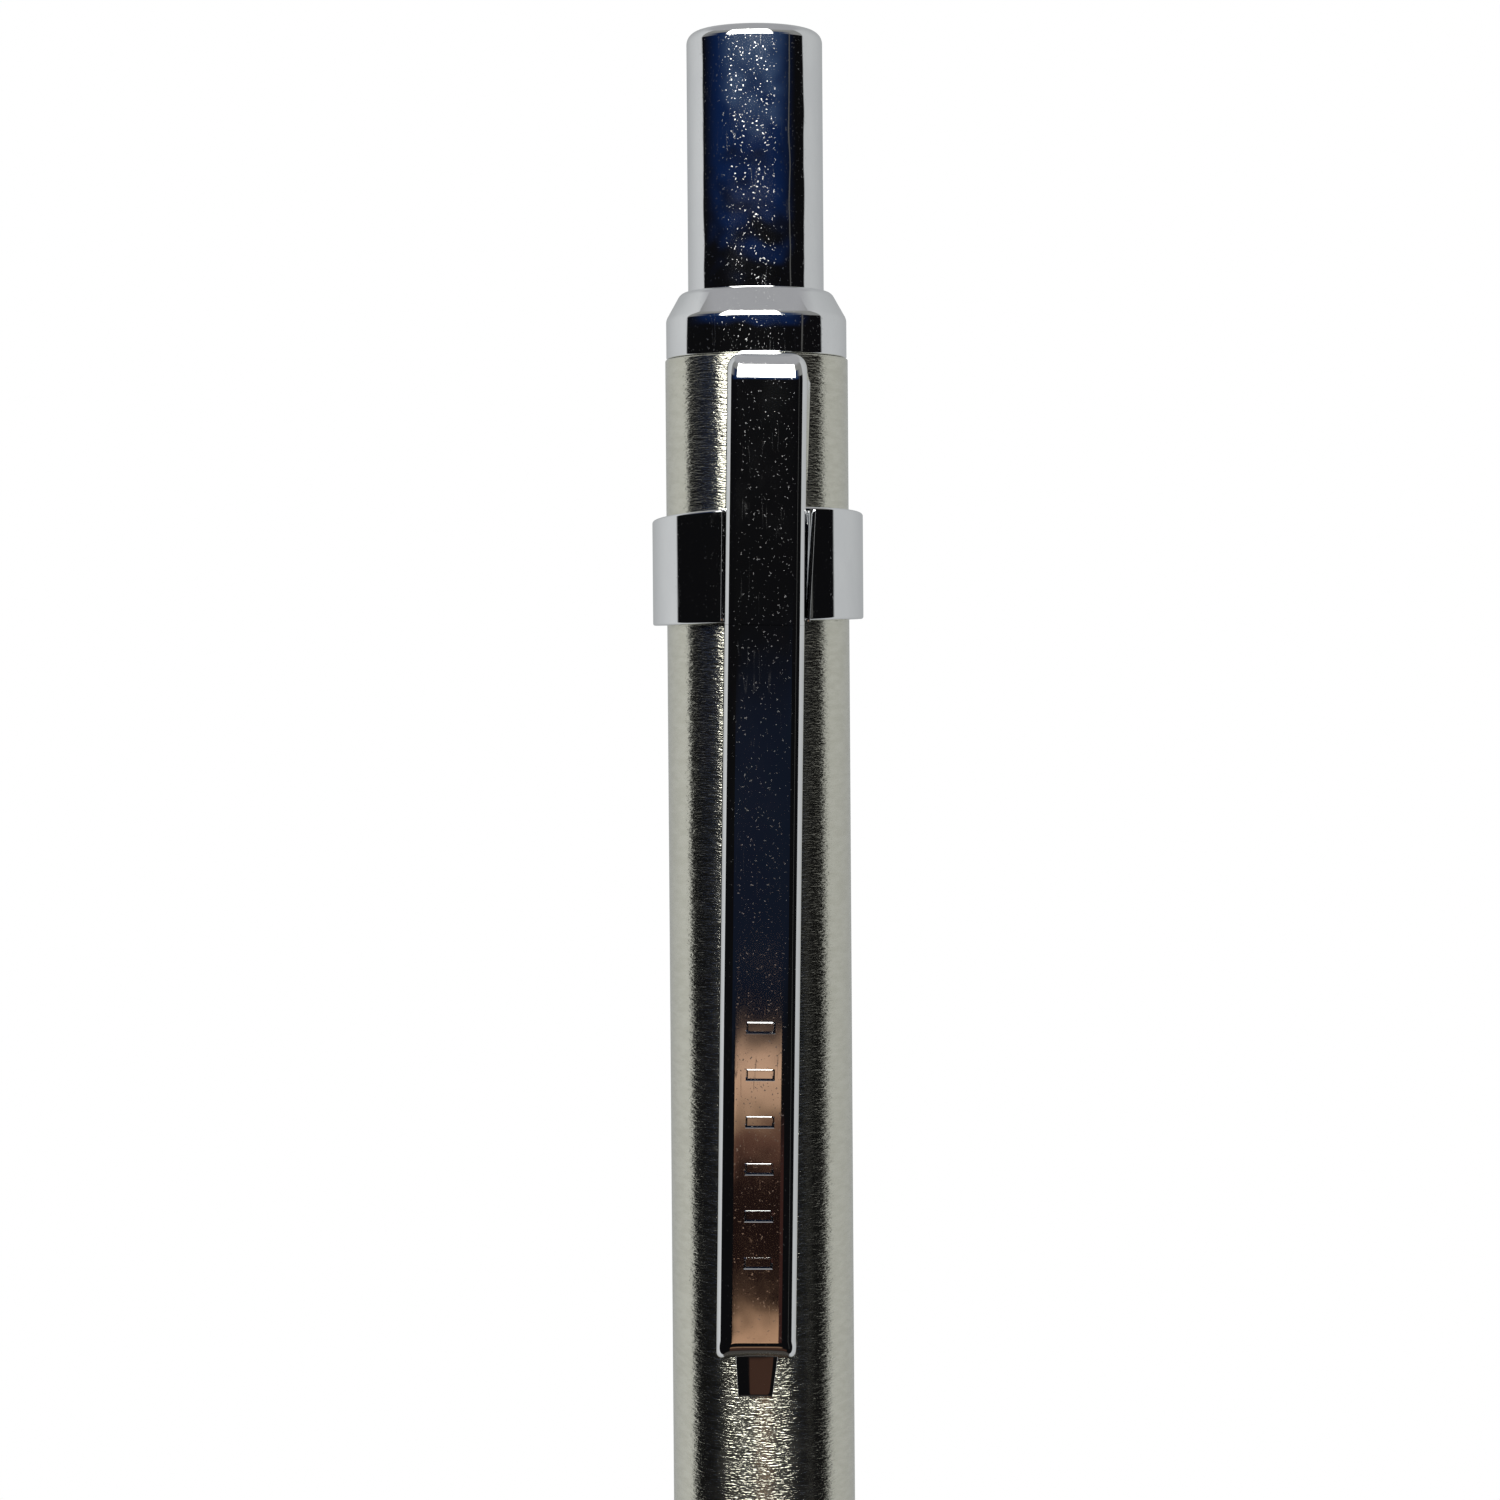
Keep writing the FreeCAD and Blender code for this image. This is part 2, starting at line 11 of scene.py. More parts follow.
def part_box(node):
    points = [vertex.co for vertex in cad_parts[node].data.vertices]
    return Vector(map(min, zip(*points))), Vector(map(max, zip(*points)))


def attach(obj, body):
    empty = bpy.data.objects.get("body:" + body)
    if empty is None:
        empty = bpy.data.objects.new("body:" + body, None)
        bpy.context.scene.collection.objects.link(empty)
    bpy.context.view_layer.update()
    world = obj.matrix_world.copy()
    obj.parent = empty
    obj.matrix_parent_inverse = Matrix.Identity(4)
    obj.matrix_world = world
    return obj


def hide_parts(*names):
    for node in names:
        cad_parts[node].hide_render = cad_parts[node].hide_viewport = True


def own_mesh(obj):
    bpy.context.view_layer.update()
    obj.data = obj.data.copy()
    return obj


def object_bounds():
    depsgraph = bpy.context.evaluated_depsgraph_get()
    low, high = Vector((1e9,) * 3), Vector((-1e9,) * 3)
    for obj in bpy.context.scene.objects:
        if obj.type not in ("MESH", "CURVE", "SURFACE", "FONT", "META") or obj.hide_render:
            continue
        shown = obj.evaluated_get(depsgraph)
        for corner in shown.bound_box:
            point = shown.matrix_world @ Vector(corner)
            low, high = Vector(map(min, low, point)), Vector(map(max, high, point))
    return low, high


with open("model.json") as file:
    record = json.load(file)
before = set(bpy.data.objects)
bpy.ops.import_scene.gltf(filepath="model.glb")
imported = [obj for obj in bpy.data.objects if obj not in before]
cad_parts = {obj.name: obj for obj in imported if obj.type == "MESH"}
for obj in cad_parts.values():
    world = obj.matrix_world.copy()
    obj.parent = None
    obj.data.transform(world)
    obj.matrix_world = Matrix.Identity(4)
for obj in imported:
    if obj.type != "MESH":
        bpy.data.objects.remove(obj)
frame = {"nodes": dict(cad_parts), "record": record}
CAD_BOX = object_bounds()

MM = 0.001
AROUND = 256             # steps round a turned piece
ARC_STEP = math.radians(7)
CREASE = math.radians(38)

# Every length below is in millimetres. Corner radii are listed in the order of the outline's corners.

# barrel and rear collar
BARREL_RADIUS = 4.0
BARREL_WALL = 0.7
BARREL_CORNER = 0.06
COLLAR_BORE = 3.02
COLLAR_SPIGOT = 3.25
COLLAR_SEAM = 0.02
COLLAR_CHAMFER = 1.2
COLLAR_CHAMFER_DEPTH = 0.67
COLLAR_CORNERS = (0.09, 0.5, 0.45, 0.04)

# push button
BUTTON_WALL = 0.4
BUTTON_TOP = 0.7
BUTTON_CORNERS = (0.05, 0.53)

# grip
GRIP_BORE = 3.27
GRIP_WAIST = 2.9
GRIP_SEATS = (5.02, 7.0)   # depths of the wider bore at its front and rear
GRIP_END = 1.7             # from each end to the knurl
GRIP_CORNER = 0.08
GROOVE_WIDTH = 0.6
GROOVE_DEPTH = 0.2
GROOVE_CORNER = 0.05
KNURLS_AROUND = 36
KNURL_STEPS = 6
KNURL_DEPTH = 0.15
KNURL_POWER = 1.5

# nose
NOSE_BORE = 2.37
NOSE_TIP = 2.75
NOSE_TIP_LENGTH = 3.0
NOSE_REAR = 3.8
NOSE_REAR_LENGTH = 1.2
NOSE_SPIGOT = 3.25
NOSE_SPIGOT_LENGTH = 5.0
NOSE_CORNERS = (0.05, 0.25, 0.6, 0.6, 0.06)

# chuck, lead and spring
JAWS = 3
JAW_SWEEP = math.radians(111)
JAW_STEPS = 40
JAW_EDGE = 0.03
JAW_OUTLINE = (
    (1.02, -2.6, 0.05),
    (1.45, -2.6, 0.08),
    (2.06, -1.5, 0.2),
    (2.06, -0.1, 0.1),
    (1.7, 3.1, 0.2),
    (1.7, 12.0),
    (1.3, 12.0),
    (1.3, 3.2),
    (1.02, 2.6),
)
LEAD_RADIUS = 1.0
LEAD_TIP = 0.2
LEAD_POINT = 3.4
LEAD_CORNERS = (0.08, 2.0, 0.05)
LEAD_STEPS = 96
SPRING_WIRE = 0.24         # its wire's radius
SPRING_PITCH = 1.9
SPRING_STEPS = 24          # for each turn
WIRE_STEPS = 12

# pocket clip
CLIP_FACE = 6.2
CLIP_HALF = 1.7
CLIP_CORNER = 0.7
CLIP_CORNER_STEPS = 9
CLIP_DEPTH = 1.3
CLIP_SHEET = 0.45
CLIP_SPLAY = 0.28          # how far the root's right flange leans out, for each unit of depth
CLIP_TOP = 127.5
CLIP_SPLIT = 115.95        # where the arm meets the root
CLIP_SPLIT_GAP = 0.01
CLIP_FOOT = 84.65
CLIP_SKEW = math.radians(1.06)
SKEW_HEIGHT = 118.4
TOP_BENDS = (1.66, 0.85)   # radii of the gentle and the tight part of its top bend
TOP_TURN = math.radians(27)
TOP_STEPS = (8, 12)
ROOT_STEPS = 8
ROOT_GAP = 0.06            # between its upper end and the barrel
ROOT_SLIVER = 0.02         # what is left of its flange there
NEAR_BEND = 0.05           # a row this far before a bend keeps the flat's shading flat
FOOT_BEND = 0.86
FOOT_STEPS = 14
FOOT_CORNER = 0.35
FOOT_ARCH = 0.16
NEAR_FOOT = 0.04
MARKS = 6
MARK_PITCH = 2.0
MARK_FIRST = CLIP_FOOT + 4.25
MARK_HALF = 0.62
MARK_HIGH = 0.25           # half its height
MARK_WALL = 0.1
MARK_DEPTH = 0.11
MARK_ROWS = (0.4, 0.03)    # rows above and below each bar
MARK_CLEAR = 1.5           # from the lowest bar's middle down to plain face
WARP = 0.01
SPLIT = "LONG_EDGE"        # keeps a bar's corners as two flat walls

# the clip's tongue
TONGUE_STEPS = (10, 8)
TONGUE_LENGTH = 1.85
TONGUE_HIDDEN = 0.45       # the part behind the foot
TONGUE_START = -5.2
TONGUE_REACH = 1.0
TONGUE_BEND = 0.85
TONGUE_HALF = 0.95
TONGUE_TAPER = 0.2
TONGUE_OFFSET = 0.07
TONGUE_CROWN = 0.1
TONGUE_SHEET = 0.3
TONGUE_EDGE = 0.03

# band
BAND_RADIUS = 4.62
BAND_SHEET = 0.42
BAND_FOOT = 116.11
BAND_HEIGHT = 4.58
BAND_FLARE = 0.3
BAND_TILT = math.radians(1.5)
BAND_CORNERS = (0.06, 0.1, 0.1, 0.06)
EAR_SHEET = 0.12
EAR_WIDTH = 1.1
EAR_PLACE = -4.8
EAR_GAPS = (0.1, 0.28)     # from the channel's sides to the middles of the left and right ears
EAR_LEAN = 0.04
EAR_DROP = 0.1
EAR_EDGE = 0.03
BLOCK_CUT = 0.03           # share of a block's height before its end rows

# the camera's viewpoint
VIEW_AZIMUTH = math.radians(-3.2)
CAMERA_HEIGHT = 115.0
CAMERA_DISTANCE = 155.0
CAMERA_LENS = 84.6
CAMERA_SENSOR = 36
CAMERA_PITCH = math.radians(1.4)
CAMERA_YAW = math.radians(0.148)
CAMERA_ROLL = math.radians(-0.41)
CAMERA_SHIFT = -0.0108

FLOOR_RADIUS = 300.0
FLOOR_DROP = 45.0

# The studio's surroundings, which the metal reflects. Each row is a colour, its azimuths, its elevations, the
# softness of its edges and, where it differs, that of its two sides, in degrees. Later rows cover earlier ones.
ANY = (-400, 400)
SKY_BASE = (0.62, 0.63, 0.63)
SKY = (
    # the pale room: greyer on the right and straight behind
    ((0.53, 0.54, 0.54), (80, 400), ANY, 10),
    ((0.40, 0.41, 0.415), (138, 400), ANY, 76),
    ((0.40, 0.41, 0.415), (-400, -138), ANY, 76),
    # the dark side behind the camera, navy higher up, with one thin bright line
    ((0.004, 0.004, 0.0045), (-99, 91), (-100, 200), 3),
    ((0.25, 0.25, 0.24), (-99, 91), (14, 60), 3),
    ((0.004, 0.014, 0.058), (-80, 56), (6.9, 30), 1.6, 40),
    ((0.036, 0.066, 0.135), (-50, 45), (9.0, 30), 1.6, 40),
    ((0.006, 0.009, 0.018), (-30, 30), (-6, -0.5), 2),
    ((0.09, 0.09, 0.085), (59.5, 61.5), (-30, 20), 1),
    # the ceiling and the broad lamp
    ((0.38, 0.38, 0.39), ANY, (46, 400), 12),
    ((9.2, 9.1, 8.6), (-47, 31), (12, 50), 3, 6),
    # copper below the camera, in bands
    ((0.56, 0.345, 0.22), (-9, 9), (-7.5, -6.45), 0.25),
    ((0.26, 0.16, 0.095), (-9, 9), (-7.8, -7.3), 0.3),
    ((0.10, 0.045, 0.03), (-9, 9), (-8.3, -7.7), 0.4),
    ((0.012, 0.006, 0.005), (-9, 9), (-10.95, -8.3), 0.4),
    ((0.04, 0.016, 0.013), (9, 16), (-13, -8), 0.8),
    ((0.50, 0.29, 0.17), (-9, 9), (-14.5, -10.85), 0.3),
    # dim ground
    ((0.22, 0.13, 0.08), (-9, 12), (-43, -34), 3),
    ((0.05, 0.025, 0.017), (-6, 40), (-62, -45), 4),
    ((0.06, 0.055, 0.05), ANY, (-400, -66), 8),
)


# --- Meshes ---------------------------------------------------------------------------------------


def arc_points(before, corner, after, radius):
    """The corner of an outline, rounded to a radius, as points along its arc."""
    to_before = (Vector(before) - Vector(corner)).normalized()
    to_after = (Vector(after) - Vector(corner)).normalized()
    opening = to_before.angle(to_after)
    reach = radius / math.tan(opening / 2)
    middle = Vector(corner) + (to_before + to_after).normalized() * (radius / math.sin(opening / 2))
    first = Vector(corner) + to_before * reach - middle
    last = Vector(corner) + to_after * reach - middle
    turn = math.pi - opening
    steps = max(2, math.ceil(turn / ARC_STEP))
    points = []
    for i in range(steps + 1):
        t = i / steps
        weights = math.sin((1 - t) * turn), math.sin(t * turn)
        points.append(tuple(middle + (first * weights[0] + last * weights[1]) / math.sin(turn)))
    return points


def outline(*corners):
    """A closed outline of (radius, height) corners in millimetres. A third number rounds the corner."""
    points = []
    for i, corner in enumerate(corners):
        if len(corner) == 2:
            points.append(corner)
        else:
            before, after = corners[i - 1][:2], corners[(i + 1) % len(corners)][:2]
            points += arc_points(before, corner[:2], after, corner[2])
    return points


def lathe(points, around=AROUND, sweep=None, shape=None):
    """Turns a closed outline about Z. With a sweep, a sector either side of +X with closed ends.

    shape(angle, radius, height) may return another radius and height.
    """
    mesh = bmesh.new()
    rings = around if sweep is None else around + 1
    rows = []
    for i in range(rings):
        angle = 2 * math.pi * i / around if sweep is None else sweep * (i / around - 0.5)
        row = []
        for radius, height in points:
            if shape:
                radius, height = shape(angle, radius, height)
            row.append(mesh.verts.new((radius * math.cos(angle), radius * math.sin(angle), height)))
        rows.append(row)
    count = len(points)
    for i in range(around):
        near, far = rows[i], rows[(i + 1) % rings]
        for j in range(count):
            k = (j + 1) % count
            mesh.faces.new((near[j], far[j], far[k], near[k]))
    if sweep is not None:
        mesh.faces.new(rows[0])
        mesh.faces.new(rows[-1][::-1])
    bmesh.ops.remove_doubles(mesh, verts=mesh.verts, dist=1e-5)
    bmesh.ops.recalc_face_normals(mesh, faces=mesh.faces)
    return mesh


def skin(rows):
    """An open sheet through rows of points."""
    mesh = bmesh.new()
    grid = [[mesh.verts.new(point) for point in row] for row in rows]
    for near, far in zip(grid, grid[1:]):
        for j in range(len(near) - 1):
            mesh.faces.new((near[j], near[j + 1], far[j + 1], far[j]))
    bmesh.ops.remove_doubles(mesh, verts=mesh.verts, dist=1e-5)
    thin = [face for face in mesh.faces if face.calc_area() < 1e-9]
    bmesh.ops.delete(mesh, geom=thin, context="FACES")
    return mesh


def block(size, centre, lean=0.0):
    """A box in millimetres. Its top leans towards +X by lean for each millimetre up."""
    mesh = bmesh.new()
    bmesh.ops.create_cube(mesh, size=1)
    for cut in (BLOCK_CUT - 0.5, 0.5 - BLOCK_CUT):
        whole = mesh.verts[:] + mesh.edges[:] + mesh.faces[:]
        bmesh.ops.bisect_plane(mesh, geom=whole, plane_co=(0, 0, cut), plane_no=(0, 0, 1))
    for vert in mesh.verts:
        x, y, z = (length * along for length, along in zip(size, vert.co))
        vert.co = Vector((x + lean * z, y, z)) + Vector(centre)
    return mesh


def joined(*meshes):
    """One mesh out of several."""
    whole = bmesh.new()
    for mesh in meshes:
        part = bpy.data.meshes.new("part")
        mesh.to_mesh(part)
        mesh.free()
        whole.from_mesh(part)
        bpy.data.meshes.remove(part)
    return whole


def piece(name, mesh, body, slot, nodes, bevel=0.0, sheet=0.0, turn=None):
    """Makes an object from a mesh in millimetres, and says what it rides on and stands for."""
    if turn:
        mesh.transform(turn)
    mesh.transform(Matrix.Scale(MM, 4))
    data = bpy.data.meshes.new(name)
    mesh.to_mesh(data)
    mesh.free()
    thing = bpy.data.objects.new(name, data)
    bpy.context.collection.objects.link(thing)
    if sheet:
        solid = thing.modifiers.new("sheet", "SOLIDIFY")
        solid.thickness = sheet * MM
        solid.offset = -1
        solid.use_even_offset = True
    if bevel:
        edge = thing.modifiers.new("edge", "BEVEL")
        edge.width = bevel * MM
        edge.segments = 3
        edge.limit_method = "ANGLE"
        edge.angle_limit = CREASE
    if sheet or bevel:
        depsgraph = bpy.context.evaluated_depsgraph_get()
        data = bpy.data.meshes.new_from_object(thing.evaluated_get(depsgraph))
        thing.modifiers.clear()
        thing.data = data
    data.shade_smooth()
    data.set_sharp_from_angle(angle=CREASE)
    normals = thing.modifiers.new("normals", "WEIGHTED_NORMAL")
    normals.keep_sharp = True
    data.materials.append(MATERIALS[slot])
    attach(thing, body)
    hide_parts(*nodes)
    return thing


# --- Materials ------------------------------------------------------------------------------------


class Nodes:
    """Short ways to add nodes to self.tree."""

    def node(self, kind, **settings):
        made = self.tree.nodes.new(kind)
        for key, value in settings.items():
            setattr(made, key, value)
        return made

    def link(self, source, target):
        self.tree.links.new(source, target)

    def math(self, operation, first, second=0.0):
        made = self.node("ShaderNodeMath", operation=operation)
        for socket, value in zip(made.inputs, (first, second)):
            if isinstance(value, (int, float)):
                socket.default_value = value
            else:
                self.link(value, socket)
        return made.outputs[0]


class Surface(Nodes):
    """A node material with one Principled shader, and short ways to add to it."""

    def __init__(self, name, colour, metallic=1.0, roughness=0.3):
        self.material = bpy.data.materials.new(name)
        self.material.use_nodes = True
        self.tree = self.material.node_tree
        self.shader = self.tree.nodes["Principled BSDF"]
        self.shader.inputs["Base Color"].default_value = (*colour, 1)
        self.shader.inputs["Metallic"].default_value = metallic
        self.shader.inputs["Roughness"].default_value = roughness
        self.place = self.node("ShaderNodeTexCoord").outputs["Object"]

    def noise(self, grain, detail=2.0, roughness=0.5, distortion=0.0, shift=0.0):
        """Noise whose grain is a size in millimetres along x, y and z."""
        mapping = self.node("ShaderNodeMapping")
        mapping.inputs["Location"].default_value = (shift, shift * 0.7, shift * 1.3)
        mapping.inputs["Scale"].default_value = tuple(1 / (MM * size) for size in grain)
        self.link(self.place, mapping.inputs["Vector"])
        made = self.node("ShaderNodeTexNoise")
        made.inputs["Scale"].default_value = 1.0
        made.inputs["Detail"].default_value = detail
        made.inputs["Roughness"].default_value = roughness
        made.inputs["Distortion"].default_value = distortion
        self.link(mapping.outputs[0], made.inputs["Vector"])
        return made.outputs["Fac"]

    def between(self, value, low, high, to_low=0.0, to_high=1.0):
        """Maps value from low..high to to_low..to_high, smoothly and clamped."""
        made = self.node("ShaderNodeMapRange", interpolation_type="SMOOTHSTEP")
        for socket, number in zip(made.inputs[1:5], (low, high, to_low, to_high)):
            socket.default_value = number
        self.link(value, made.inputs[0])
        return made.outputs[0]

    def colours(self, value, dark, light):
        """A colour between two, by value."""
        ramp = self.node("ShaderNodeValToRGB")
        ramp.color_ramp.elements[0].color = (*dark, 1)
        ramp.color_ramp.elements[1].color = (*light, 1)
        self.link(value, ramp.inputs[0])
        self.link(ramp.outputs[0], self.shader.inputs["Base Color"])

    def roughness(self, value):
        self.link(value, self.shader.inputs["Roughness"])

    def bumps(self, *layers):
        """Stacks bump layers, each a height and its depth in millimetres."""
        normal = None
        for height, depth in layers:
            bump = self.node("ShaderNodeBump")
            bump.inputs["Strength"].default_value = 1.0
            bump.inputs["Distance"].default_value = depth * MM
            self.link(height, bump.inputs["Height"])
            if normal:
                self.link(normal, bump.inputs["Normal"])
            normal = bump.outputs[0]
        self.link(normal, self.shader.inputs["Normal"])

    def brushed(self, amount, turn=0.25):
        """Stretches highlights along the axis, as a grain round the holder does."""
        self.shader.inputs["Anisotropic"].default_value = amount
        self.shader.inputs["Anisotropic Rotation"].default_value = turn
        tangent = self.node("ShaderNodeTangent", direction_type="RADIAL", axis="Z")
        self.link(tangent.outputs[0], self.shader.inputs["Tangent"])

    def scratches(self, slant, shift, width=0.02):
        """Long fine scratches along one slanted direction, rare and uneven."""
        mapping = self.node("ShaderNodeMapping")
        mapping.inputs["Rotation"].default_value = (0.0, slant, 0.0)
        mapping.inputs["Location"].default_value = (shift, shift, shift)
        mapping.inputs["Scale"].default_value = (1 / (MM * 0.5), 1 / (MM * 0.5), 1 / (MM * 6.0))
        self.link(self.place, mapping.inputs["Vector"])
        made = self.node("ShaderNodeTexNoise")
        made.inputs["Scale"].default_value = 1.0
        made.inputs["Detail"].default_value = 1.0
        self.link(mapping.outputs[0], made.inputs["Vector"])
        line = self.math("ABSOLUTE", self.math("SUBTRACT", made.outputs["Fac"], 0.5))
        thin = self.between(line, 0.0, width, 1.0, 0.0)
        patches = self.between(self.noise((1.5, 1.5, 1.5), shift=shift + 7), 0.55, 0.62)
        return self.math("MULTIPLY", thin, patches)


def satin_nickel():
    """Plated barrel: a fine grain of short wavy streaks round the axis, catching the light unevenly."""
    metal = Surface("satin_nickel", (0.71, 0.70, 0.61), roughness=0.22)
    streaks = metal.noise((0.36, 0.36, 0.075), detail=2.0, roughness=0.6, distortion=0.4)
    tone = metal.noise((0.8, 0.8, 0.25), detail=4.0, shift=3)
    metal.colours(metal.between(tone, 0.3, 0.7), (0.67, 0.66, 0.57), (0.74, 0.73, 0.64))
    metal.roughness(metal.between(tone, 0.3, 0.7, 0.16, 0.2))
    metal.brushed(0.6)
    metal.bumps((streaks, 0.022))
    return metal.material


def grip_metal():
    """Plated knurl, darker and rougher in random patches of grime."""
    metal = Surface("grip_metal", (0.6, 0.59, 0.54), roughness=0.25)
    grime = metal.noise((0.5, 0.5, 0.5), detail=5.0)
    metal.colours(metal.between(grime, 0.35, 0.65), (0.47, 0.465, 0.42), (0.64, 0.63, 0.58))
    metal.roughness(metal.between(grime, 0.35, 0.65, 0.38, 0.2))
    metal.bumps((metal.noise((0.05, 0.05, 0.05), detail=3.0), 0.003))
    return metal.material


def chrome(name, smudged, specked, rare, waves):
    """Mirror plate, dulled by smudges, specks and hair scratches.

    smudged and specked are the roughness they add, rare is the noise value where specks start, and waves is
    the depth, in millimetres, of the waves that bend its reflections.
    """
    metal = Surface(name, (0.87, 0.88, 0.895), roughness=0.04)
    haze = metal.noise((1.6, 1.6, 2.6), detail=4.0, roughness=0.6, shift=2)
    metal.colours(metal.between(haze, 0.3, 0.7), (0.83, 0.84, 0.855), (0.87, 0.88, 0.89))
    smudges = metal.between(haze, 0.45, 0.70, 0.0, smudged)
    grit = metal.noise((0.085, 0.085, 0.085), detail=0.0, shift=5)
    specks = metal.between(grit, rare, rare + 0.06, 0.0, specked)
    hairs = metal.math("MULTIPLY", metal.scratches(0.25, 4), 0.5 * specked)
    dull = metal.math("MAXIMUM", smudges, metal.math("MAXIMUM", specks, hairs))
    metal.roughness(metal.math("ADD", dull, 0.04))
    metal.bumps((metal.noise((1.5, 1.5, 2.0), detail=1.0), waves))
    return metal.material


# colour, worn colour, and the pitch, roughness and depth of the tool's rings
TURNED_METALS = {
    "hard_steel": ((0.56, 0.56, 0.57), (0.40, 0.40, 0.42), 0.05, 0.22, 0.002),
    "chuck_brass": ((0.80, 0.60, 0.27), (0.58, 0.40, 0.17), 0.06, 0.26, 0.002),
    "coupling_brass": ((0.78, 0.57, 0.25), (0.52, 0.35, 0.14), 0.12, 0.3, 0.006),
    "tube_steel": ((0.55, 0.55, 0.55), (0.42, 0.42, 0.41), 0.3, 0.28, 0.002),
    "spring_steel": ((0.50, 0.50, 0.51), (0.33, 0.33, 0.35), 0.08, 0.3, 0.002),
}


def turned_metal(name, colour, worn, pitch, roughness, depth):
    """Machined metal with fine rings from the tool and stains that darken it."""
    metal = Surface(name, colour, roughness=roughness)
    rings = metal.noise((40.0, 40.0, pitch), detail=3.0)
    stains = metal.noise((1.3, 1.3, 2.0), detail=4.0, shift=9)
    metal.colours(metal.between(stains, 0.3, 0.75), worn, colour)
    metal.roughness(metal.between(stains, 0.3, 0.7, roughness * 1.4, roughness * 0.8))
    metal.brushed(0.5)
    metal.bumps((rings, depth))
    return metal.material


def pointer_plastic():
    """Moulded black plastic with a soft fine texture."""
    plastic = Surface("pointer_plastic", (0.02, 0.02, 0.022), metallic=0.0, roughness=0.45)
    grain = plastic.noise((0.12, 0.12, 0.12), detail=3.0)
    plastic.colours(grain, (0.012, 0.012, 0.014), (0.035, 0.035, 0.038))
    plastic.roughness(plastic.between(grain, 0.3, 0.7, 0.38, 0.52))
    plastic.bumps((grain, 0.006))
    return plastic.material


def graphite():
    """Grey lead with a greasy sheen and fine drawing lines along it."""
    stick = Surface("graphite", (0.09, 0.09, 0.10), metallic=0.35, roughness=0.4)
    lines = stick.noise((0.08, 0.08, 2.5), detail=4.0)
    stick.colours(lines, (0.05, 0.05, 0.055), (0.16, 0.16, 0.17))
    stick.roughness(stick.between(lines, 0.3, 0.7, 0.3, 0.5))
    stick.bumps((lines, 0.008), (stick.noise((0.06, 0.06, 0.06), detail=3.0), 0.004))
    return stick.material


MATERIALS = {
    "satin_nickel": satin_nickel(),
    "grip_metal": grip_metal(),
    "polished_chrome": chrome("polished_chrome", smudged=0.018, specked=0.17, rare=0.72, waves=0.022),
    "clip_chrome": chrome("clip_chrome", smudged=0.016, specked=0.13, rare=0.75, waves=0.003),
    "pointer_plastic": pointer_plastic(),
    "graphite": graphite(),
    **{name: turned_metal(name, *look) for name, look in TURNED_METALS.items()},
}


# --- Casing ---------------------------------------------------------------------------------------


def top_of(node):
    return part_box(node)[1][2] / MM


def foot_of(node):
    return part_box(node)[0][2] / MM


def radius_of(node):
    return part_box(node)[1][0] / MM


def make_barrel():
    low, high = foot_of("barrel_tube"), top_of("barrel_tube")
    bore = BARREL_RADIUS - BARREL_WALL
    side = (BARREL_RADIUS, low, BARREL_CORNER), (BARREL_RADIUS, high, BARREL_CORNER)
    mesh = lathe(outline((bore, low), *side, (bore, high)))
    piece("barrel", mesh, "barrel", "satin_nickel", ["barrel_tube"])


def make_collar():
    low, high = foot_of("rear_collar"), top_of("rear_collar")
    seam = top_of("barrel_tube") + COLLAR_SEAM
    side = radius_of("rear_collar")
    seam_corner, shoulder_corner, top_corner, bore_corner = COLLAR_CORNERS
    mesh = lathe(
        outline(
            (COLLAR_BORE, low),
            (COLLAR_SPIGOT, low),
            (COLLAR_SPIGOT, seam),
            (side, seam, seam_corner),
            (side, high - COLLAR_CHAMFER, shoulder_corner),
            (side - COLLAR_CHAMFER_DEPTH, high, top_corner),
            (COLLAR_BORE, high, bore_corner),
        )
    )
    piece("collar", mesh, "barrel", "polished_chrome", ["rear_collar"])


def make_button():
    low, high = foot_of("push_button"), top_of("push_button")
    side = radius_of("push_button")
    bore = side - BUTTON_WALL
    foot_corner, top_corner = BUTTON_CORNERS
    mesh = lathe(
        outline(
            (bore, low),
            (side, low, foot_corner),
            (side, high, top_corner),
            (0, high),
            (0, high - BUTTON_TOP),
            (bore, high - BUTTON_TOP),
        )
    )
    piece("button", mesh, "button", "polished_chrome", ["push_button"])


def knurl(angle, radius, height, low, high):
    """Diamond pyramids pressed into the grip between two heights."""
    if not (low < height < high) or radius < BARREL_RADIUS - GROOVE_DEPTH:
        return radius, height
    rows = round((high - low) / (2 * math.pi * radius / KNURLS_AROUND))
    across = KNURLS_AROUND * angle / (2 * math.pi)
    along = rows * (height - low) / (high - low)
    waves = [abs((way % 1.0) - 0.5) * 2 for way in (across + along, across - along)]
    groove = max(waves)
    return radius - KNURL_DEPTH * groove**KNURL_POWER, height


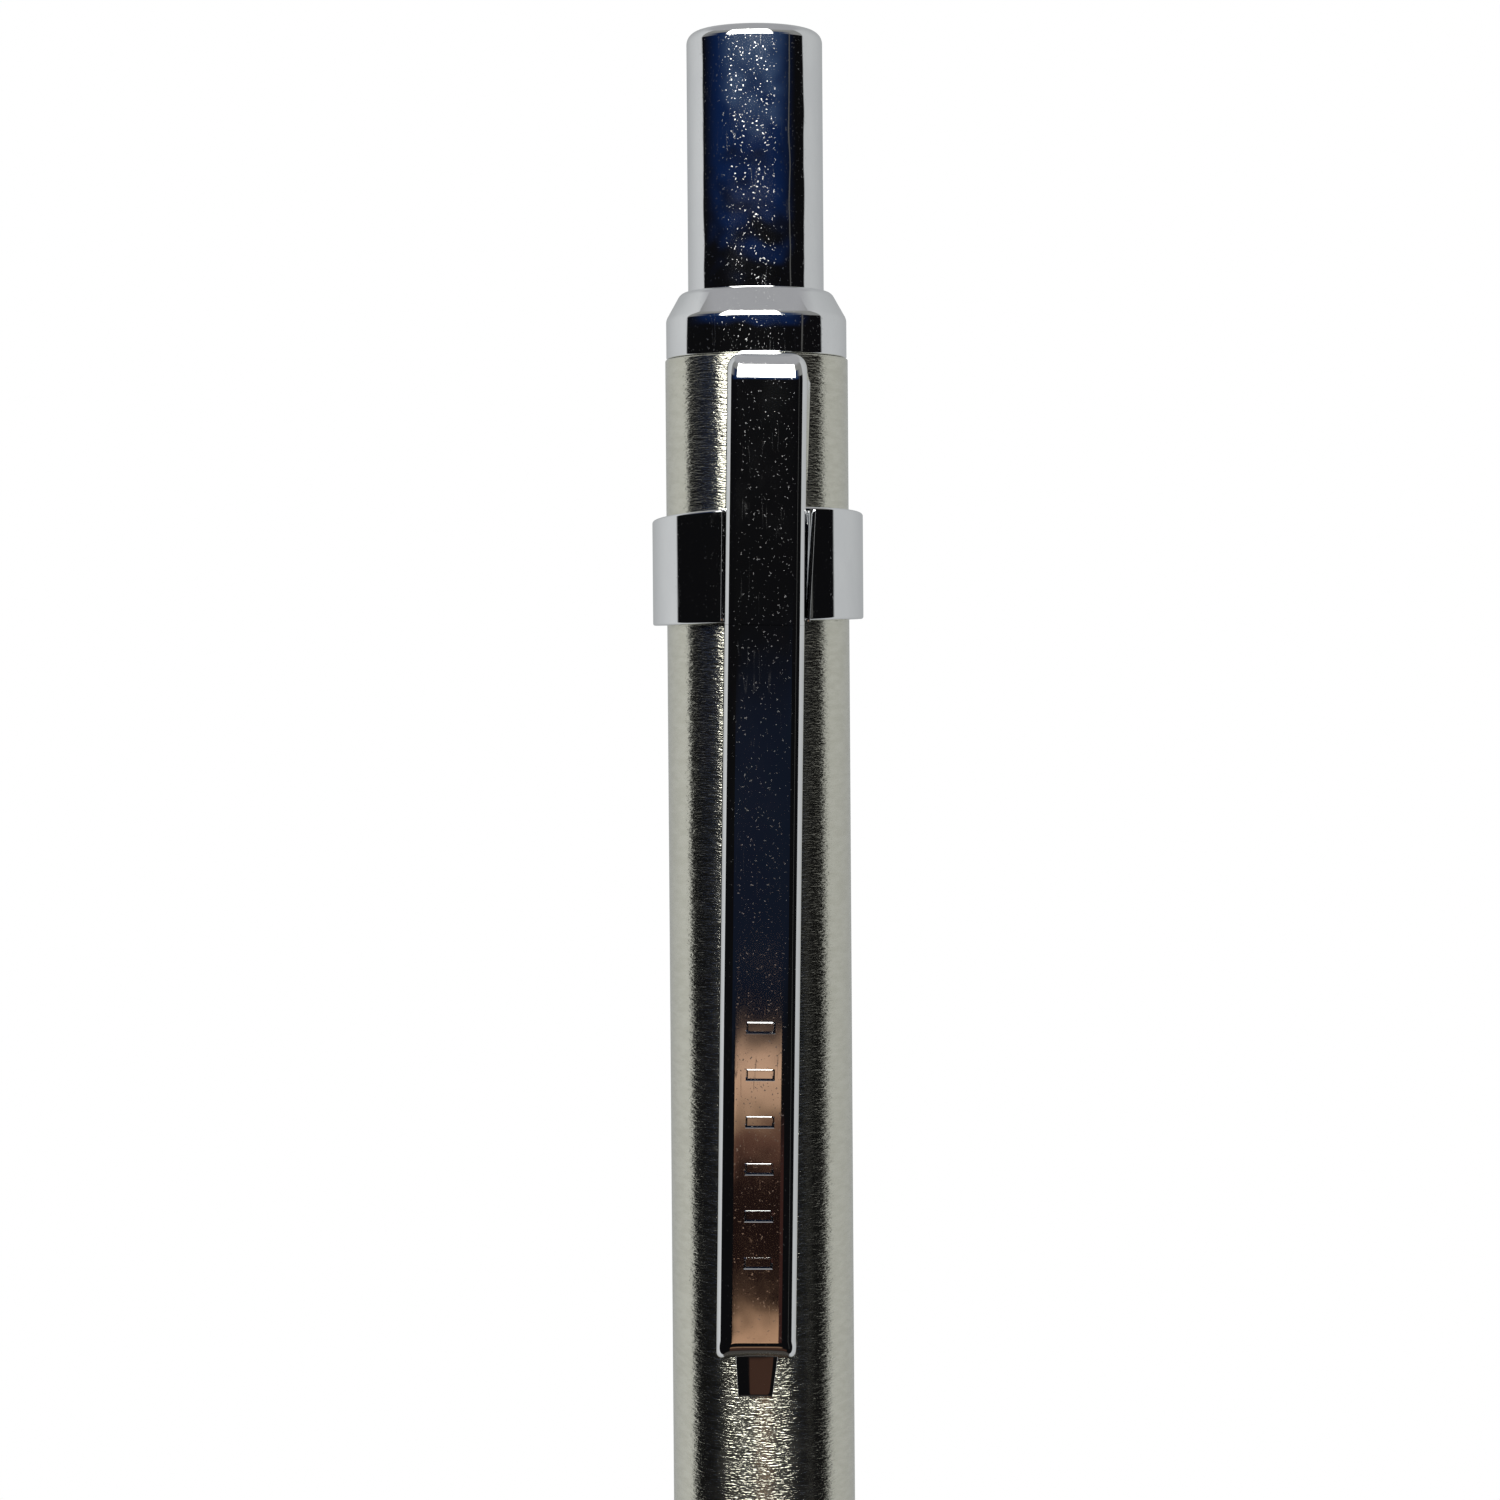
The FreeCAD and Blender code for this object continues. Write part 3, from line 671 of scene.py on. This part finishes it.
def make_grip():
    low, high = foot_of("grip_sleeve"), top_of("grip_sleeve")
    side = radius_of("grip_sleeve")
    groove = side - GROOVE_DEPTH
    start, end = low + GRIP_END, high - GRIP_END
    front_seat, rear_seat = GRIP_SEATS
    rows = KNURL_STEPS * round((end - start) / (2 * math.pi * side / KNURLS_AROUND))
    points = outline(
        (GRIP_BORE, low),
        (side, low, GRIP_CORNER),
        (side, start - GROOVE_WIDTH, GROOVE_CORNER),
        (groove, start - GROOVE_WIDTH, GROOVE_CORNER),
        (groove, start, GROOVE_CORNER),
    )
    points += [(side, start + (end - start) * i / rows) for i in range(rows + 1)]
    points += outline(
        (groove, end, GROOVE_CORNER),
        (groove, end + GROOVE_WIDTH, GROOVE_CORNER),
        (side, end + GROOVE_WIDTH, GROOVE_CORNER),
        (side, high, GRIP_CORNER),
        (GRIP_BORE, high),
    )
    points += [(GRIP_BORE, high - rear_seat), (GRIP_WAIST, high - rear_seat)]
    points += [(GRIP_WAIST, low + front_seat), (GRIP_BORE, low + front_seat)]

    def shape(angle, radius, height):
        return knurl(angle, radius, height, start, end)

    mesh = lathe(points, around=KNURLS_AROUND * KNURL_STEPS, shape=shape)
    piece("grip", mesh, "barrel", "grip_metal", ["grip_sleeve"])


def make_nose():
    high = foot_of("grip_sleeve")
    bore_corner, tip_corner, waist_corner, shoulder_corner, rear_corner = NOSE_CORNERS
    mesh = lathe(
        outline(
            (NOSE_BORE, 0.0, bore_corner),
            (NOSE_TIP, 0.0, tip_corner),
            (NOSE_TIP, NOSE_TIP_LENGTH, waist_corner),
            (NOSE_REAR, high - NOSE_REAR_LENGTH, shoulder_corner),
            (NOSE_REAR, high, rear_corner),
            (NOSE_SPIGOT, high),
            (NOSE_SPIGOT, high + NOSE_SPIGOT_LENGTH),
            (NOSE_BORE, high + NOSE_SPIGOT_LENGTH),
        )
    )
    piece("nose", mesh, "barrel", "satin_nickel", ["nose_cone"])


# --- Chuck and lead -------------------------------------------------------------------------------


def make_jaws():
    points = outline(*JAW_OUTLINE)
    for i in range(JAWS):
        mesh = lathe(points, around=JAW_STEPS, sweep=JAW_SWEEP)
        turn = Matrix.Rotation(2 * math.pi * i / JAWS, 4, "Z")
        name = f"jaw_{i + 1}"
        piece(name, mesh, name, "chuck_brass", [f"chuck_{name}"], bevel=JAW_EDGE, turn=turn)


def make_lead():
    low, high = foot_of("lead"), top_of("lead")
    tip_corner, shoulder_corner, rear_corner = LEAD_CORNERS
    points = outline(
        (0, low),
        (LEAD_TIP, low, tip_corner),
        (LEAD_RADIUS, low + LEAD_POINT, shoulder_corner),
        (LEAD_RADIUS, high, rear_corner),
        (0, high),
    )
    piece("lead_stick", lathe(points, around=LEAD_STEPS), "lead", "graphite", ["lead"])


def make_spring():
    """The spring's coil, built at its rest length. The real spring shortens as the button is pressed."""
    low, high = foot_of("return_spring"), top_of("return_spring")
    mean = radius_of("return_spring") - SPRING_WIRE
    length = high - low - 2 * SPRING_WIRE
    turns = length / SPRING_PITCH
    steps = math.ceil(turns * SPRING_STEPS)
    rows = []
    for i in range(steps + 1):
        angle = 2 * math.pi * turns * i / steps
        middle = low + SPRING_WIRE + length * i / steps
        row = []
        for j in range(WIRE_STEPS + 1):
            way = 2 * math.pi * j / WIRE_STEPS
            radius = mean + SPRING_WIRE * math.cos(way)
            height = middle + SPRING_WIRE * math.sin(way)
            row.append((radius * math.cos(angle), radius * math.sin(angle), height))
        rows.append(row)
    mesh = skin(rows)
    bmesh.ops.holes_fill(mesh, edges=mesh.edges, sides=0)
    bmesh.ops.recalc_face_normals(mesh, faces=mesh.faces)
    coil = piece("spring_coil", mesh, "barrel", "spring_steel", ["return_spring"])
    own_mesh(coil)


# --- Pocket clip ----------------------------------------------------------------------------------


def spread(*stops):
    """Values through the stops, each a value and the number of steps to the next one."""
    values = []
    for (here, steps), (there, _) in zip(stops, stops[1:]):
        values += [here + (there - here) * i / steps for i in range(steps)]
    return values + [stops[-1][0]]


def section(place, inward, depths, corner=CLIP_CORNER, dent=None, splay=0.0):
    """One section of the folded clip: along the right flange, over the face, and back along the left.

    place and inward are (y, z). depths are where the flange's last points lie, measured inwards. dent(x) is
    how deep the face is pressed, and splay is how far the right flange leans out for each unit of depth.
    """
    half = CLIP_HALF - corner
    side = [(CLIP_HALF, depth) for depth in sorted(depths, reverse=True)]
    for i in range(CLIP_CORNER_STEPS + 1):
        angle = math.pi / 2 * i / CLIP_CORNER_STEPS
        side.append((half + corner * math.cos(angle), corner * (1 - math.sin(angle))))
    wall = MARK_HALF - MARK_WALL
    stops = ((half, 2), (MARK_HALF, 1), (wall, 4), (-wall, 1), (-MARK_HALF, 2), (-half, 0))
    face = [(x, 0.0) for x in spread(*stops)[1:-1]]
    whole = [(x + splay * max(0.0, depth - CLIP_CORNER), depth) for x, depth in side] + face
    whole += [(-x, depth) for x, depth in reversed(side)]
    points = []
    for x, depth in whole:
        if dent and depth == 0.0:
            depth += dent(x)
        points.append((x, place[0] + inward[0] * depth, place[1] + inward[1] * depth))
    return points


def pressed_marks(height):
    """How deep the row of pressed bars goes at a height, as a function of x."""
    away = min(abs(height - MARK_FIRST - i * MARK_PITCH) for i in range(MARKS))

    def dent(x):
        inside = min(MARK_HALF - abs(x), MARK_HIGH - away)
        return MARK_DEPTH * min(1.0, max(0.0, inside / MARK_WALL))

    return dent


def warped(face):
    """Whether a face's corners are out of one plane, as at the corner of a pressed bar."""
    first, second, third, last = (face.verts[i].co for i in (0, 1, 2, -1))
    across = (second - first).cross(third - first).normalized()
    return abs(across.dot(last - first)) > WARP


def lean():
    """The clip leans sideways on the barrel."""
    pivot = Matrix.Translation((0, 0, SKEW_HEIGHT))
    return pivot @ Matrix.Rotation(CLIP_SKEW, 4, "Y") @ pivot.inverted()


def make_arm():
    """The spring arm, with its pressed bars, closed at its foot by a bend towards the barrel."""
    flange = (FOOT_BEND, CLIP_DEPTH)
    far, near = MARK_ROWS
    heights = [CLIP_SPLIT + CLIP_SPLIT_GAP]
    for i in reversed(range(MARKS)):
        middle = MARK_FIRST + i * MARK_PITCH
        low, high = middle - MARK_HIGH, middle + MARK_HIGH
        heights += [high + far, high + near, high, high - MARK_WALL]
        heights += [low + MARK_WALL, low, low - near, low - far]
    bend_top = CLIP_FOOT + FOOT_BEND
    heights += [MARK_FIRST - MARK_CLEAR, bend_top + NEAR_FOOT, bend_top]
    rows = [section((-CLIP_FACE, height), (1, 0), flange, dent=pressed_marks(height)) for height in heights]
    centre = (-CLIP_FACE + FOOT_BEND, bend_top)
    for i in range(1, FOOT_STEPS + 2):
        angle = math.pi / 2 * min(1, i / FOOT_STEPS)
        inward = (math.cos(angle), math.sin(angle))
        place = [c - way * FOOT_BEND for c, way in zip(centre, inward)]
        if i > FOOT_STEPS:
            place[0] = -CLIP_FACE + CLIP_DEPTH
        corner = CLIP_CORNER + (FOOT_CORNER - CLIP_CORNER) * math.sin(angle)
        row = []
        for x, y, z in section(place, inward, (FOOT_BEND, FOOT_BEND), corner):
            arch = (1 - (x / CLIP_HALF) ** 2) * min(1, (bend_top - z) / FOOT_BEND)
            row.append((x, y, z + FOOT_ARCH * math.sin(angle) * arch))
        rows.append(row)
    mesh = skin(rows)
    bmesh.ops.triangulate(mesh, faces=[face for face in mesh.faces if warped(face)], quad_method=SPLIT)
    piece("clip_channel", mesh, "clip", "clip_chrome", ["clip_arm"], sheet=CLIP_SHEET, turn=lean())


def make_tongue():
    """The narrow tongue that reaches from the clip's foot to the barrel."""
    steps, across = TONGUE_STEPS
    spots = [1 - 2 * j / across for j in range(across + 1)]
    rows = []
    for i in range(steps + 1):
        t = i / steps
        half = TONGUE_HALF - TONGUE_TAPER * t
        y = TONGUE_START + TONGUE_REACH * t**TONGUE_BEND
        z = CLIP_FOOT + TONGUE_HIDDEN - (TONGUE_LENGTH + TONGUE_HIDDEN) * t
        rows.append([(half * spot + TONGUE_OFFSET, y + TONGUE_CROWN * spot**2, z) for spot in spots])
    look = {"sheet": TONGUE_SHEET, "bevel": TONGUE_EDGE}
    piece("clip_tongue", skin(rows), "clip", "clip_chrome", ["clip_arm"], turn=lean(), **look)


def make_root():
    """The fixed upper end of the channel, bent over to the barrel."""
    gentle, tight = TOP_BENDS
    gentle_steps, tight_steps = TOP_STEPS
    bend_low = CLIP_TOP - gentle * math.sin(TOP_TURN) - tight * (1 - math.sin(TOP_TURN))
    near_face = (CLIP_CORNER, CLIP_CORNER + NEAR_BEND)
    rows = []
    for height in spread((CLIP_SPLIT - CLIP_SPLIT_GAP, ROOT_STEPS), (bend_low - NEAR_BEND, 1), (bend_low, 0)):
        splay = CLIP_SPLAY * (height - CLIP_SPLIT) / (bend_low - CLIP_SPLIT)
        rows.append(section((-CLIP_FACE, height), (1, 0), (*near_face, CLIP_DEPTH), splay=splay))
    place = [-CLIP_FACE, bend_low]
    turned = 0.0
    angles = spread((0.0, gentle_steps), (TOP_TURN, tight_steps), (math.pi / 2, 0))
    for i, angle in enumerate(angles[1:]):
        radius = gentle if i < gentle_steps else tight
        place[0] += radius * (math.cos(turned) - math.cos(angle))
        place[1] += radius * (math.sin(angle) - math.sin(turned))
        turned = angle
        depth = max(tight, CLIP_DEPTH + (tight - CLIP_DEPTH) * angle / TOP_TURN)
        inward = (math.cos(angle), -math.sin(angle))
        splay = CLIP_SPLAY * (1 - angle / (math.pi / 2))
        rows.append(section(tuple(place), inward, (*near_face, depth), splay=splay))
    rows.append(section((-CLIP_FACE + CLIP_DEPTH, CLIP_TOP), (0, -1), (*near_face, CLIP_DEPTH)))
    sliver = [CLIP_CORNER + ROOT_SLIVER * i for i in range(3)]
    rows.append(section((-BARREL_RADIUS - ROOT_GAP, CLIP_TOP), (0, -1), sliver))
    mesh = skin(rows)
    bmesh.ops.reverse_faces(mesh, faces=mesh.faces)
    piece("clip_root", mesh, "barrel", "clip_chrome", ["clip_band"], sheet=CLIP_SHEET, turn=lean())


def make_band():
    """The band, whose upper edge rises towards the clip."""
    inner = BAND_RADIUS - BAND_SHEET
    sides = ((inner, 0.0), (BAND_RADIUS, 0.0), (BAND_RADIUS, BAND_HEIGHT), (inner, BAND_HEIGHT))

    def shape(angle, radius, height):
        front = max(0.0, -math.sin(angle))
        return radius, height * (1 + BAND_FLARE * front / BAND_HEIGHT)

    ring = lathe(outline(*((*side, corner) for side, corner in zip(sides, BAND_CORNERS))), shape=shape)
    tilt = Matrix.Translation((0, 0, BAND_FOOT))
    tilt[2][0] = math.tan(BAND_TILT)
    piece("band", ring, "barrel", "clip_chrome", ["clip_band"], turn=tilt)


def make_ears():
    """The band's two ears, which hold the channel between them."""
    height = BAND_HEIGHT + BAND_FLARE - EAR_DROP
    size = (EAR_SHEET, EAR_WIDTH, height)
    left, right = -CLIP_HALF - EAR_GAPS[0], CLIP_HALF + EAR_GAPS[1]
    ears = [
        block(size, (left, EAR_PLACE, BAND_FOOT + height / 2)),
        block(size, (right, EAR_PLACE, BAND_FOOT + height / 2), lean=EAR_LEAN),
    ]
    piece("band_ears", joined(*ears), "barrel", "clip_chrome", ["clip_band"], bevel=EAR_EDGE, turn=lean())


# --- Stage, light and camera ----------------------------------------------------------------------


def dress_nodes():
    """The CAD nodes that stay shown take the material of their slot."""
    slots = {part["node"]: part["material_slot"] for part in frame["record"]["subparts"]}
    for name, thing in frame["nodes"].items():
        thing.data.materials.clear()
        thing.data.materials.append(MATERIALS[slots[name]])


class Sky(Nodes):
    """World colours by direction, in degrees: azimuth from the way to the camera, and elevation."""

    def __init__(self, base):
        self.world = bpy.data.worlds.new("studio")
        bpy.context.scene.world = self.world
        self.world.use_nodes = True
        self.tree = self.world.node_tree
        self.tree.nodes.clear()
        where = self.node("ShaderNodeTexCoord")
        spin = self.node("ShaderNodeMapping", vector_type="POINT")
        spin.inputs["Rotation"].default_value = (0, 0, -VIEW_AZIMUTH)
        self.link(where.outputs["Generated"], spin.inputs["Vector"])
        split = self.node("ShaderNodeSeparateXYZ")
        self.link(spin.outputs[0], split.inputs[0])
        x, y, z = split.outputs
        turn = self.math("ARCTAN2", x, self.math("MULTIPLY", y, -1.0))
        self.azimuth = self.math("MULTIPLY", turn, math.degrees(1))
        self.elevation = self.math("MULTIPLY", self.math("ARCSINE", z), math.degrees(1))
        plain = self.node("ShaderNodeRGB")
        plain.outputs[0].default_value = (*base, 1)
        self.colour = plain.outputs[0]

    def step(self, value, edge, soft):
        """0 below edge and 1 above it, over a soft width."""
        made = self.node("ShaderNodeMapRange", interpolation_type="SMOOTHSTEP")
        made.inputs[1].default_value = edge - soft / 2
        made.inputs[2].default_value = edge + soft / 2
        self.link(value, made.inputs[0])
        return made.outputs[0]

    def window(self, azimuths, elevations, soft, side_soft=None):
        """1 inside a box of directions, with soft edges. side_soft is the softness of its two sides."""
        masks = []
        for value, limits, width in (
            (self.azimuth, azimuths, side_soft or soft),
            (self.elevation, elevations, soft),
        ):
            rise = self.step(value, limits[0], width)
            fall = self.math("SUBTRACT", 1.0, self.step(value, limits[1], width))
            masks.append(self.math("MULTIPLY", rise, fall))
        return self.math("MULTIPLY", *masks)

    def paint(self, colour, mask):
        """Lays a colour over what is there, inside the mask."""
        mix = self.node("ShaderNodeMix", data_type="RGBA")
        self.link(mask, mix.inputs["Factor"])
        self.link(self.colour, mix.inputs[6])
        mix.inputs[7].default_value = (*colour, 1)
        self.colour = mix.outputs[2]

    def finish(self):
        """The camera sees plain white; everything else is lit by the painted colours."""
        seen = self.node("ShaderNodeLightPath").outputs["Is Camera Ray"]
        light = self.node("ShaderNodeBackground")
        self.link(self.colour, light.inputs["Color"])
        white = self.node("ShaderNodeBackground")
        white.inputs["Color"].default_value = (1, 1, 1, 1)
        pick = self.node("ShaderNodeMixShader")
        for source, socket in zip((seen, light.outputs[0], white.outputs[0]), pick.inputs):
            self.link(source, socket)
        self.link(pick.outputs[0], self.node("ShaderNodeOutputWorld").inputs["Surface"])


def make_light():
    """A pale room behind, a dark one on the camera's side, and a broad lamp above the camera."""
    sky = Sky(SKY_BASE)
    for colour, azimuths, elevations, *softness in SKY:
        sky.paint(colour, sky.window(azimuths, elevations, *softness))
    sky.finish()


def make_floor():
    mesh = bmesh.new()
    bmesh.ops.create_circle(mesh, cap_ends=True, segments=96, radius=FLOOR_RADIUS * MM)
    data = bpy.data.meshes.new("floor")
    mesh.to_mesh(data)
    mesh.free()
    floor = bpy.data.objects.new("floor", data)
    floor.location.z = CAD_BOX[0][2] - FLOOR_DROP * MM
    bpy.context.collection.objects.link(floor)
    paint = Surface("floor", (0.55, 0.55, 0.545), metallic=0.0, roughness=0.7)
    paint.colours(paint.noise((40, 40, 40)), (0.53, 0.53, 0.525), (0.57, 0.57, 0.565))
    data.materials.append(paint.material)
    floor.visible_glossy = False


def make_camera():
    data = bpy.data.cameras.new("camera")
    data.lens = CAMERA_LENS
    data.sensor_width = CAMERA_SENSOR
    data.shift_y = CAMERA_SHIFT
    data.clip_start = 0.01
    camera = bpy.data.objects.new("camera", data)
    bpy.context.collection.objects.link(camera)
    reach = CAMERA_DISTANCE * MM
    place = Vector((math.sin(VIEW_AZIMUTH) * reach, -math.cos(VIEW_AZIMUTH) * reach, CAMERA_HEIGHT * MM))
    look = Matrix.Rotation(VIEW_AZIMUTH, 4, "Z") @ Matrix.Rotation(math.pi / 2, 4, "X")
    aim = Matrix.Rotation(CAMERA_YAW, 4, "Y") @ Matrix.Rotation(-CAMERA_PITCH, 4, "X")
    aim = aim @ Matrix.Rotation(CAMERA_ROLL, 4, "Z")
    camera.matrix_world = Matrix.Translation(place) @ look @ aim
    bpy.context.scene.camera = camera


dress_nodes()
make_barrel()
make_collar()
make_button()
make_grip()
make_nose()
make_jaws()
make_lead()
make_spring()
make_arm()
make_tongue()
make_root()
make_band()
make_ears()
make_light()
make_floor()
make_camera()
bpy.context.scene.view_settings.view_transform = "Standard"
